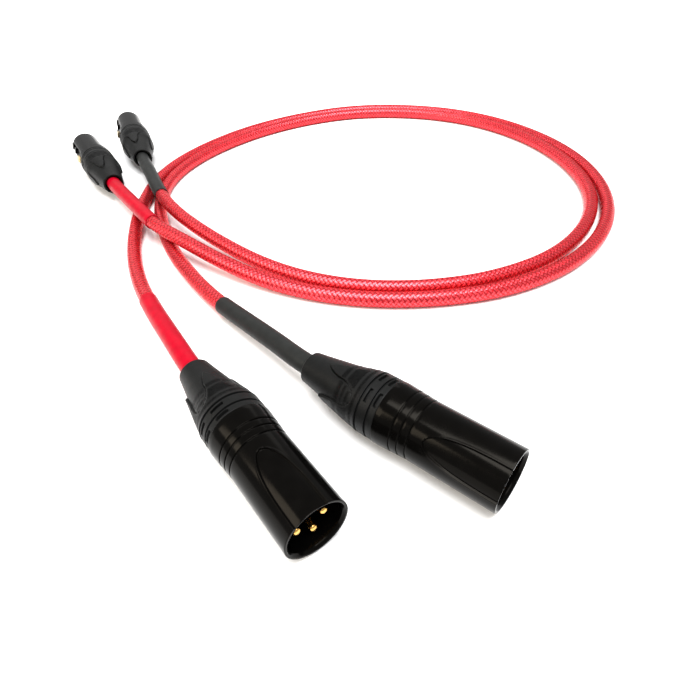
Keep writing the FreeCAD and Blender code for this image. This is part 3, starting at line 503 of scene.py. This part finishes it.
def braided_jacket(name, settings):
    """Clear red jacket over a silver braid. With u along the cable and v round it, the strands
    of one way are the whole parts of n v + u / pitch, and of the other way n v - u / pitch.
    The two ways lie on top by turns, by the sum of those whole parts. A strand has a crown
    sin(pi t) across it and four fine wires. Over this real weave the base colour is painted: the
    jacket colour in the gaps is a painted shade, and the braid colour on the crowns a painted
    highlight."""
    recipe = Recipe(name, Metallic=0.85, Coat_Weight=0.4, Coat_Roughness=0.14, Coat_IOR=1.4,
                    Specular_IOR_Level=0.1, Specular_Tint=(1.0, 0.2, 0.25, 1.0))
    uv = recipe.node("UVMap", uv_map="UVMap").outputs["UV"]
    split = recipe.node("SeparateXYZ", uv)
    along = recipe.math("DIVIDE", split.outputs["X"], settings.braid_pitch)
    about = recipe.math("MULTIPLY", split.outputs["Y"], float(settings.strands))
    ways = [recipe.math("ADD", about, along), recipe.math("SUBTRACT", about, along)]
    number = recipe.math("ADD", *[recipe.math("FLOOR", way) for way in ways])
    on_top = recipe.math("LESS_THAN", recipe.math("FLOORED_MODULO", number, 2.0), 0.5)
    under = recipe.math("SUBTRACT", 1.0, on_top)
    crowns, wires = [], []
    for way, shown in zip(ways, (on_top, under)):
        crown = recipe.math("MULTIPLY", recipe.math("FRACT", way), math.pi)
        wire = recipe.math("SINE", recipe.math("MULTIPLY", way, math.pi * 4))
        crowns.append(recipe.math("MULTIPLY", recipe.math("SINE", crown), shown))
        wires.append(recipe.math("MULTIPLY", recipe.math("ABSOLUTE", wire), shown))
    height = recipe.math("ADD", recipe.math("ADD", *crowns),
                         recipe.math("MULTIPLY", recipe.math("ADD", *wires), 0.25))
    cloud = recipe.noise(recipe.object_place(), 300.0, 3.0, 0.6)
    # Painted highlight and shade over the real weave: high on a strand's crown the colour goes to
    # the bright braid colour, a painted highlight, and in the gaps to the dark jacket colour, a
    # painted shade. The cloud varies it at random.
    shade = recipe.math("MULTIPLY", recipe.remap(height, 0.5, 1.05, 0.0, 1.0),
                        recipe.remap(cloud, 0.25, 0.75, 0.65, 1.0))
    recipe.give("Base Color", recipe.mix(shade, rgba(settings.jacket), rgba(settings.braid)))
    recipe.give("Roughness", recipe.remap(cloud, 0.2, 0.8, 0.22, 0.34))
    recipe.give("Normal", recipe.bump(height, 0.00022, 0.6))
    recipe.give("Coat Normal", recipe.bump(height, 0.00022, 0.4))
    return recipe.material


def shrink_sleeve(name, colour_value, roughness):
    """Shrink sleeve: lengthwise draw, faint lumps of the cable below."""
    recipe = Recipe(name, Specular_IOR_Level=0.05)
    uv = recipe.node("UVMap", uv_map="UVMap").outputs["UV"]
    place = recipe.object_place()
    stretched = recipe.node("Mapping", uv)
    stretched.inputs["Scale"].default_value = (120.0, 9.0, 1.0)
    draw = recipe.noise(stretched.outputs[0], 1.0, 3.0, 0.5)
    lumps = recipe.noise(place, 320.0, 2.0, 0.5)
    fine = recipe.noise(place, 5200.0, 3.0, 0.6)
    recipe.give_shades(lumps, colour_value, 0.9, 1.1)
    recipe.give("Roughness", recipe.remap(draw, 0.25, 0.75, roughness - 0.05, roughness + 0.06))
    recipe.give("Normal", recipe.bump(lumps, 0.00012, 0.6, recipe.bump(fine, 0.000006, 0.6)))
    return recipe.material


def latch_finish(name, settings):
    """Black lever with a gilt push tab: the tone changes with the distance from the nose."""
    x, y, heading, _, _ = PLUGS[name + "_female"]
    recipe = Recipe(name + "_latch_finish", Metallic=1.0)
    turned = recipe.node("Mapping", recipe.object_place(), vector_type="TEXTURE")
    turned.inputs["Location"].default_value = (x * MM, y * MM, FEMALE_REST * MM)
    turned.inputs["Rotation"].default_value = (0.0, 0.0, math.radians(heading))
    split = recipe.node("SeparateXYZ", turned.outputs[0])
    tab = recipe.remap(split.outputs["X"], TAB_START * MM, (TAB_START + TAB_BLEND) * MM, 0.0, 1.0)
    fine = recipe.noise(recipe.object_place(), 2600.0, 3.0, 0.6)
    recipe.give("Base Color", recipe.mix(tab, rgba(settings.lever), rgba(settings.push_tab)))
    recipe.give("Roughness", recipe.remap(fine, 0.2, 0.8, 0.2, 0.32))
    recipe.give("Normal", recipe.bump(fine, 0.000008))
    return recipe.material


def dress(node, material):
    """Gives a CAD node its finish."""
    target = NODES[node]
    target.data.materials.clear()
    target.data.materials.append(material)


# Pieces of the plugs, drawn along X from the mating end, in millimetres

def male_shell_grid(settings):
    """Cast tube. The outline goes round its section, from the rim along the outside and back
    through the bore. The columns of each row crowd at the edge of the sunk panel outside, which
    is a blunt U, and at the edge of the channel inside, so that both edges are sharp."""
    radius, flare = settings.radius / MM, settings.flare / MM
    flare_start, flare_end = 27.5, 37.0
    groove_starts, groove_width, groove_depth = (27.0, 29.6, 32.2), 0.5, 0.38
    mouth, front_bore, stop, rear_bore = 8.75, 8.15, 7.45, 8.3
    stop_start, stop_end = 14.6, 15.5
    corners = [(0.0, radius - 0.04)]
    for start in groove_starts:
        end = start + groove_width
        first, second = np.interp([start, end], [flare_start, flare_end],
                                  [radius, radius + flare])
        corners += [(start, first), (start, first - groove_depth),
                    (end, second - groove_depth), (end, second)]
    corners += [
        (flare_end, radius + flare), (MALE_SHOULDER, radius + flare),
        (MALE_SHOULDER, rear_bore), (stop_end, rear_bore), (stop_end, stop), (stop_start, stop),
        (stop_start, front_bore), (13.6, front_bore), (0.9, front_bore), (0.0, mouth),
    ]
    reach = [0.2] + [0.12] * 12 + [0.3, 0.16] + [0.1] * 6 + [0.2, 0.2]
    outline = divided(rounded(corners, reach, 5), 0.45)

    # The panel's rounded end needs finer rows
    end_place, end_reach, end_rows = 21.7, 2.6, 46
    near_end = ((outline[:, 1] > radius - 0.05)
                & (np.abs(outline[:, 0] - end_place) < end_reach))
    first = np.argmax(near_end)
    fine = np.linspace(*outline[[first, first + near_end.sum() - 1]], end_rows)
    outline = np.vstack([outline[:first], fine, outline[first + near_end.sum():]])
    along, out = outline[:, 0], outline[:, 1]
    outside = out > mouth
    panel_length = settings.panel_length / MM
    panel_half = settings.panel_half_width / MM
    half_width = panel_half * np.sqrt(np.clip(1 - (along / panel_length) ** 3, 0, 1))
    channel_half = math.asin(1.95 / rear_bore)
    edge = np.where(outside, np.arcsin(np.clip(half_width / radius, 0, 1)), channel_half)

    # Half the width of the band of crowded columns, as an angle, and the shares of the way round
    # from the middle of the panel where it starts and ends
    band, before, after = 0.019, 0.17, 0.23
    edge = np.maximum(edge, 2.2 * band)[:, None]
    share = np.linspace(-0.5, 0.5, SHELL_COLUMNS, endpoint=False)[None]
    size = np.abs(share)
    angle = np.where(size < before, size / before * (edge - band), np.where(
        size < after, edge - band + (size - before) / 0.06 * 2 * band,
        edge + band + (size - after) / 0.27 * (math.pi - edge - band))) * np.sign(share)

    # Distance inside the panel's edge, from the curve (x / length)^3 + (y / half)^2 = 1
    across = radius * np.sin(angle)
    scaled_length = along[:, None] / panel_length
    level = scaled_length ** 3 + (across / panel_half) ** 2 - 1.0
    slope = np.hypot(3 * scaled_length ** 2 / panel_length, 2 * across / panel_half ** 2)
    inside = -level / np.maximum(slope, 1e-6)
    front = (np.abs(angle) < math.pi / 2) * outside[:, None]
    front = front * smooth_step(out, 9.0, 9.4)[:, None]
    edge_blend = 0.13
    sunk = smooth_step(inside, -edge_blend, edge_blend) * front
    bead_height, bead_place, bead_width = 0.07, 0.16, 0.09
    bead = bead_height * np.exp(-((inside + bead_place) / bead_width) ** 2) * front
    depth = settings.panel_depth / MM
    channel_end, channel_floor = 13.7, 8.6
    channel = (np.abs(angle) < edge) & (along < channel_end)[:, None] & (out < rear_bore)[:, None]
    channel &= (out > 8.0)[:, None]
    reach_out = (np.where(channel, channel_floor / np.cos(angle), out[:, None])
                 - depth * sunk + bead)
    return round_grid(outline, angle, reach_out)


def boot_grid(shoulder, total, thread, thread_radius, shell_radius):
    """Moulded boot. Its outside is the greater of a round neck and four petals. The petals are a
    turned form with a U cut between each pair: a cut's edge lies at +-w(x) from its middle, and
    steps down to the neck. Two grooves and two rows of slots are sunk in its ring."""
    ring_radius = shell_radius - 0.15
    ring = shoulder + 6.6
    wide_bore, cable_bore = 6.2, 3.9
    corners = [
        (shoulder - thread, wide_bore), (shoulder - thread, thread_radius),
        (shoulder + 0.05, thread_radius), (shoulder + 0.05, ring_radius), (ring, ring_radius),
        (total - 9.0, 7.0), (total, 5.35), (total, 4.45), (total - 3.0, 4.3),
        (total - 3.4, cable_bore), (shoulder + 17.0, cable_bore), (shoulder + 14.5, wide_bore),
    ]
    reach = [0.1, 0.1, 0.02, 0.25, 0.05, 0.05, 0.5, 0.25, 0.2, 0.2, 0.3, 0.3]
    outline = divided(rounded(corners, reach, 6), 0.16)

    # Of the rows in the bores only every sixth is kept. Known fault: the wide bore's rows past
    # the ring also pass the test for `outside` below, so they lie on the outer wall there.
    in_wide_bore = (outline[:, 1] < 6.3) & (outline[:, 0] < shoulder + 15.0)
    in_bore = (outline[:, 1] < 4.2) | in_wide_bore
    outline = outline[~in_bore | (np.arange(len(outline)) % 6 == 0)]
    along, out = outline[:, 0][:, None], outline[:, 1][:, None]
    angle = np.linspace(-math.pi, math.pi, BOOT_COLUMNS, endpoint=False)[None]

    # Radii of the petals and the neck against the distance left to the cable end
    left = total - along
    petal = np.interp(-left, [-50.0, -24.9, -24.0, -22.0, -18.0, -14.0, -10.0, -9.3],
                      [ring_radius, ring_radius, 9.8, 9.57, 8.95, 8.3, 7.74, 7.6])
    petal = np.minimum(petal, ring_radius)
    neck = np.interp(-left, [-50.0, -23.0, -20.0, -18.0, -16.0, -14.0, -12.0, -10.0, -8.0,
                             -4.0, -0.7, 0.0],
                     [ring_radius, 9.64, 9.0, 8.42, 7.97, 7.6, 7.26, 6.95, 6.6, 5.95, 5.45, 5.3])
    neck = np.minimum(neck, petal)

    # Distance beside the edge of a cut: its end is half an ellipse, its sides open towards the
    # cable end. Angles about the axis are in degrees here.
    cut_place, cut_reach, cut_half = 14.5, 8.0, 28.5
    half = np.interp(-left, [-cut_place, -11.4, -9.6, -8.0], [cut_half, 35.0, 43.0, 48.0])
    quarter = (angle + math.pi / 4) % (math.pi / 2) - math.pi / 4
    about = np.degrees(quarter)
    reach_up, reach_out = (left - cut_place) / cut_reach, about / cut_half
    ellipse = np.sqrt(reach_up ** 2 + reach_out ** 2)
    slope = np.sqrt((reach_up / cut_reach) ** 2
                    + (reach_out / cut_half / math.radians(8.6)) ** 2)
    beside = np.where(left > cut_place, (ellipse - 1.0) * ellipse / np.maximum(slope, 1e-6),
                      np.radians(np.abs(about) - half) * 8.2)
    on_petal = smooth_step(beside, -0.08, 0.12) * smooth_step(left, 9.0, 9.3)
    line_depth, line_place, line_width = 0.3, 0.16, 0.15
    line = (np.exp(-((beside + line_place) / line_width) ** 2)
            * smooth_step(left, 9.3, 11.0))
    shape = neck + (petal - neck) * on_petal - line_depth * line
    outside = (out > 4.9) & (along > ring - 0.001) & (along < total - 0.5)
    bodied = np.where(outside, shape, np.broadcast_to(out, np.broadcast(out, angle).shape))
    tip = (along >= total - 0.5) & (out > 4.4)
    bodied = np.where(tip, out, bodied)

    # Grooves and slots of the ring
    on_ring = (out > ring_radius - 0.15) & (along < ring + 0.1)
    first = shoulder + 2.2
    groove_depth, slot_depth, blend = 0.6, 0.9, 0.06
    groove = sum(smooth_step(0.3 - np.abs(along - start - 0.2), -blend, blend)
                 for start in (first, first + 3.6)) * groove_depth
    slot_half, slot_tall, corner = 2.2, 0.5, 0.3
    slots = 0.0
    for start in (shoulder + 0.7, shoulder + 4.1):
        for number in range(5):
            middle = -math.radians(22.5 + 45.0 * number)
            away = (angle - middle + math.pi) % (2 * math.pi) - math.pi
            across = np.abs(away) * ring_radius - slot_half + corner
            down = np.abs(along - start - slot_tall) - slot_tall + corner
            edge = (np.hypot(np.maximum(across, 0), np.maximum(down, 0))
                    + np.minimum(np.maximum(across, down), 0) - corner)
            slots = np.maximum(slots, smooth_step(-edge, -blend, blend))
    bodied = bodied - np.where(on_ring, np.maximum(groove, slots * slot_depth), 0.0)
    return round_grid(outline, angle, bodied)


def pin_grid(end):
    """A contact pin: straight, with a domed tip, a flange, and a cup for the wire at its end."""
    tip, radius, shank, flange, cup, cup_bore, cup_depth = 2.5, 1.2, 1.5, 1.95, 1.4, 0.95, 3.5
    dome = np.linspace(0.0, math.pi / 2, 9)[1:]
    nose = np.stack([tip + 0.95 * (1 - np.cos(dome)), radius * np.sin(dome) ** 0.8], -1)
    rest = [(15.5, radius), (15.5, shank), (22.0, shank), (22.0, flange), (23.2, flange),
            (23.2, cup), (end, cup), (end, cup_bore), (end - cup_depth, cup_bore),
            (end - cup_depth, 0.02)]
    outline = np.vstack([nose, rest])
    angle = np.linspace(-math.pi, math.pi, PIN_COLUMNS, endpoint=False)
    return round_grid(outline, angle)


def join(name, pieces):
    """Makes one object of several."""
    with bpy.context.temp_override(active_object=pieces[0], selected_editable_objects=pieces,
                                   selected_objects=pieces, object=pieces[0]):
        bpy.ops.object.join()
    pieces[0].name = name
    pieces[0].data.name = name
    return pieces[0]


# Operators: one for each group of like pieces

class LEADS_OT_male_shells(bpy.types.Operator):
    """Adds the gloss black tubes of the male plugs"""
    bl_idname = "leads.male_shells"
    bl_label = "Male shells"

    def execute(self, context):
        settings = context.scene.leads_plugs
        finish = lacquer("gloss_black_lacquer", settings.shell)
        for name in COLOURS:
            plug = name + "_male"
            grid = plug_points(plug, male_shell_grid(settings))
            piece = grid_piece(plug + "_barrel", grid, finish, sharp=40.0)
            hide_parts(plug + "_shell")
            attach(piece, LEADS)
        return {"FINISHED"}


class LEADS_OT_boots(bpy.types.Operator):
    """Adds the moulded boots of all four plugs"""
    bl_idname = "leads.boots"
    bl_label = "Boots"

    def execute(self, context):
        settings = context.scene.leads_plugs
        finish = moulded("matt_boot_rubber", settings.boot, roughness=0.46, specular=0.1)
        grids = {
            "male": boot_grid(MALE_SHOULDER, MALE_LENGTH, thread=4.2, thread_radius=8.1,
                              shell_radius=10.2),
            "female": boot_grid(FEMALE_SHOULDER, FEMALE_LENGTH, thread=2.7, thread_radius=8.0,
                                shell_radius=9.5),
        }
        for name in COLOURS:
            for kind, grid in grids.items():
                plug = "%s_%s" % (name, kind)
                piece = grid_piece(plug + "_grip_boot", plug_points(plug, grid, boot=True),
                                   finish, sharp=50.0)
                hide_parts(plug + "_boot")
                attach(piece, LEADS)
        return {"FINISHED"}


class LEADS_OT_contacts(bpy.types.Operator):
    """Adds the gold pins of the male plugs and gilds the sockets of the female plugs"""
    bl_idname = "leads.contacts"
    bl_label = "Contacts"

    def execute(self, context):
        settings = context.scene.leads_plugs
        finish = metal("gold_plate", settings.gold, roughness=0.2)
        for name in COLOURS:
            plug = name + "_male"
            pins = []
            for number, (side, up) in enumerate(CONTACT_PLACES, start=1):
                local = pin_grid(end=29.2) + (0.0, side, up)
                pins.append(grid_piece("%s_pin_%d" % (plug, number), plug_points(plug, local),
                                       finish, closed_rows=False, sharp=40.0))
            piece = join(plug + "_gold_pins", pins)
            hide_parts(plug + "_pins")
            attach(piece, LEADS)
            dress(name + "_female_sockets", finish)
        return {"FINISHED"}


class LEADS_OT_female_plugs(bpy.types.Operator):
    """Finishes the shells, latches and springs of the female plugs"""
    bl_idname = "leads.female_plugs"
    bl_label = "Female plugs"

    def execute(self, context):
        settings = context.scene.leads_plugs
        satin = moulded("satin_black_shell", scaled(settings.shell, 1.6), roughness=0.18,
                        grain=0.000004, grain_scale=6000.0, spread=0.3, specular=0.055)
        steel = metal("spring_steel", settings.steel, roughness=0.28)
        for name in COLOURS:
            dress(name + "_female_shell", satin)
            dress(name + "_female_latch", latch_finish(name, settings))
            dress(name + "_female_latch_pin", steel)
            self.add_spring(name, steel)
        return {"FINISHED"}

    def add_spring(self, name, finish):
        """Draws a leaf spring on its lever, so that the lever never passes through it. The real
        one bends instead, so at the upper limit the drawn one dips into the carrier."""
        node = NODES[name + "_female_latch_spring"]
        mesh = node.data.copy()
        mesh.transform(node.matrix_world)
        mesh.materials.clear()
        mesh.materials.append(finish)
        piece = bpy.data.objects.new(name + "_female_leaf_spring", mesh)
        bpy.context.scene.collection.objects.link(piece)
        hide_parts(name + "_female_latch_spring")
        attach(piece, name + "_latch_lever")


class LEADS_OT_inner_parts(bpy.types.Operator):
    """Finishes the contact carriers, clamps, wires and cable ends inside the plugs"""
    bl_idname = "leads.inner_parts"
    bl_label = "Inner parts"

    def execute(self, context):
        carrier = moulded("carrier_plastic", (0.02, 0.02, 0.021), roughness=0.5,
                          grain=0.00001, grain_scale=5200.0)
        clamp = moulded("clamp_nylon", (0.05, 0.05, 0.052), roughness=0.45,
                        grain=0.00001, grain_scale=4200.0)
        wire = moulded("wire_insulation", (0.72, 0.71, 0.68), roughness=0.38,
                       grain=0.000006, grain_scale=3600.0, spread=0.08)
        cable = moulded("inner_cable_jacket", (0.45, 0.01, 0.02), roughness=0.3,
                        grain=0.000006, grain_scale=3000.0, spread=0.2)
        for name in COLOURS:
            for kind in ("male", "female"):
                plug = "%s_%s" % (name, kind)
                dress(plug + "_carrier", carrier)
                dress(plug + "_clamp", clamp)
                dress(plug + "_wires", wire)
                dress(plug + "_cable_end", cable)
        return {"FINISHED"}


class LEADS_OT_leads(bpy.types.Operator):
    """Adds the two braided leads and their shrink sleeves"""
    bl_idname = "leads.leads"
    bl_label = "Leads and sleeves"

    def execute(self, context):
        settings = context.scene.leads_cable
        jacket = braided_jacket("clear_red_jacket_over_braid", settings)
        sleeves = {
            "red": shrink_sleeve("red_shrink_sleeve", settings.red_sleeve, roughness=0.34),
            "black": shrink_sleeve("black_shrink_sleeve", settings.black_sleeve, roughness=0.4),
        }
        for name in COLOURS:
            line, distances = lead_line(name)
            total = distances[-1]
            count = int(total / (CABLE_ROW_SPACING * MM))
            where = np.linspace(0.0, total, count)
            grid = ring_grid(*along_line(line, distances, where), np.full(count, settings.radius))
            cable = grid_piece(name + "_braided_lead", grid, jacket, closed_rows=False,
                               along=where, sharp=60.0)
            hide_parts(name + "_cable")
            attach(cable, LEADS)
            pieces = [self.add_sleeve(name, end, line, distances, sleeves[name], settings)
                      for end in ("front", "rear")]
            far = name + "_female"
            parts = ["shell", "carrier", "sockets", "latch", "latch_pin", "clamp", "wires",
                     "cable_end"]
            pieces += [NODES["%s_%s" % (far, part)] for part in parts]
            pieces += [bpy.data.objects[far + part] for part in ("_grip_boot", "_leaf_spring")]
        return {"FINISHED"}

    def add_sleeve(self, name, end, line, distances, finish, settings):
        """A tube with a rounded rim: its section's outline is carried along the cable."""
        span = settings.front_sleeve
        if end == "rear":
            line, distances = line[::-1], distances[-1] - distances[::-1]
            span = settings.rear_sleeve
        inner, outer = settings.sleeve_bore, settings.sleeve_radius
        corners = [(0.0, outer), (span, outer), (span, inner), (0.0, inner)]
        reach = [0.1 * MM, 0.2 * MM, 0.1 * MM, 0.1 * MM]
        outline = divided(rounded(corners, reach, 4), 1.2 * MM)
        fine = np.linspace(0.0, span, 90)
        pick = [np.stack([np.interp(outline[:, 0], fine, vector[:, k]) for k in range(3)], -1)
                for vector in along_line(line, distances, fine)]
        grid = ring_grid(*pick, outline[:, 1])
        piece = grid_piece("%s_%s_shrink_sleeve" % (name, end), grid, finish,
                           along=outline[:, 0], sharp=50.0)
        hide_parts("%s_%s_sleeve" % (name, end))
        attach(piece, LEADS)
        return piece


class LEADS_OT_stage(bpy.types.Operator):
    """Adds the camera, the pale floor and the soft studio light"""
    bl_idname = "leads.stage"
    bl_label = "Stage"

    def execute(self, context):
        settings = context.scene.leads_stage
        scene = context.scene
        scene.view_settings.view_transform = "Standard"
        self.add_camera(scene)
        recipe = Recipe("pale_floor", Roughness=0.9, Specular_IOR_Level=0.1)
        cloud = recipe.noise(recipe.object_place(), 3.0, 2.0)
        recipe.give("Base Color", recipe.mix(cloud, scaled(settings.floor, 0.995),
                                             scaled(settings.floor, 1.005)))
        (left, right), (near, far) = FLOOR_X, FLOOR_Y
        corners = [(x, y, -FLOOR_DROP)
                   for x, y in ((left, near), (right, near), (right, far), (left, far))]
        mesh = bpy.data.meshes.new("floor")
        mesh.from_pydata(corners, [], [(0, 1, 2, 3)])
        mesh.materials.append(recipe.material)
        floor = bpy.data.objects.new("floor", mesh)
        scene.collection.objects.link(floor)
        powers = {"key_light": settings.key_power, "side_light": settings.side_power,
                  "back_light": settings.back_power}
        for name, (place, target, size, tint) in SOFT_LIGHTS.items():
            self.add_softbox(name, Vector(place), Vector(target), size, tint, powers[name])
        world = bpy.data.worlds.new("even_fill")
        world.use_nodes = True
        background = world.node_tree.nodes["Background"]
        background.inputs["Color"].default_value = (1.0, 1.0, 1.0, 1.0)
        background.inputs["Strength"].default_value = settings.sky
        scene.world = world
        return {"FINISHED"}

    def add_camera(self, scene):
        """Looks along +Y, tilts down, then rolls about its own axis."""
        tilt, roll = math.radians(CAMERA_TILT), math.radians(CAMERA_ROLL)
        data = bpy.data.cameras.new("camera")
        data.sensor_width = CAMERA_SENSOR
        data.lens = CAMERA_LENS
        data.clip_start = 0.01
        camera = bpy.data.objects.new("camera", data)
        scene.collection.objects.link(camera)
        turn = Matrix.Rotation(math.pi / 2 - tilt, 4, "X") @ Matrix.Rotation(-roll, 4, "Z")
        camera.matrix_world = Matrix.Translation([part * MM for part in CAMERA_PLACE]) @ turn
        scene.camera = camera

    def add_softbox(self, name, place, target, size, tint, power):
        """Adds a flat light that shines from its place to its target."""
        data = bpy.data.lights.new(name, "AREA")
        data.shape = "RECTANGLE"
        data.size, data.size_y = size
        data.energy = power
        data.color = tint
        light = bpy.data.objects.new(name, data)
        bpy.context.scene.collection.objects.link(light)
        turn = (place - target).to_track_quat("Z", "Y").to_matrix().to_4x4()
        light.matrix_world = Matrix.Translation(place) @ turn


class LEADS_PT_panel(bpy.types.Panel):
    """Lists the pieces and their sizes"""
    bl_label = "Balanced audio leads"
    bl_space_type = "VIEW_3D"
    bl_region_type = "UI"
    bl_category = "Leads"

    def draw(self, context):
        for operator in OPERATORS:
            self.layout.operator(operator.bl_idname)
        for group in ("leads_cable", "leads_plugs", "leads_stage"):
            settings = getattr(context.scene, group)
            box = self.layout.box()
            for key in settings.__annotations__:
                box.prop(settings, key)


GROUPS = {"leads_cable": LEADS_PG_cable, "leads_plugs": LEADS_PG_plugs,
          "leads_stage": LEADS_PG_stage}
OPERATORS = (LEADS_OT_male_shells, LEADS_OT_boots, LEADS_OT_contacts, LEADS_OT_female_plugs,
             LEADS_OT_inner_parts, LEADS_OT_leads, LEADS_OT_stage)
CLASSES = (*GROUPS.values(), *OPERATORS, LEADS_PT_panel)


def register():
    for item in CLASSES:
        bpy.utils.register_class(item)
    for name, group in GROUPS.items():
        setattr(bpy.types.Scene, name, PointerProperty(type=group))


def unregister():
    for name in GROUPS:
        delattr(bpy.types.Scene, name)
    for item in reversed(CLASSES):
        bpy.utils.unregister_class(item)


def main():
    register()
    for operator in OPERATORS:
        group, name = operator.bl_idname.split(".")
        getattr(getattr(bpy.ops, group), name)()


if __name__ == "__main__":
    main()
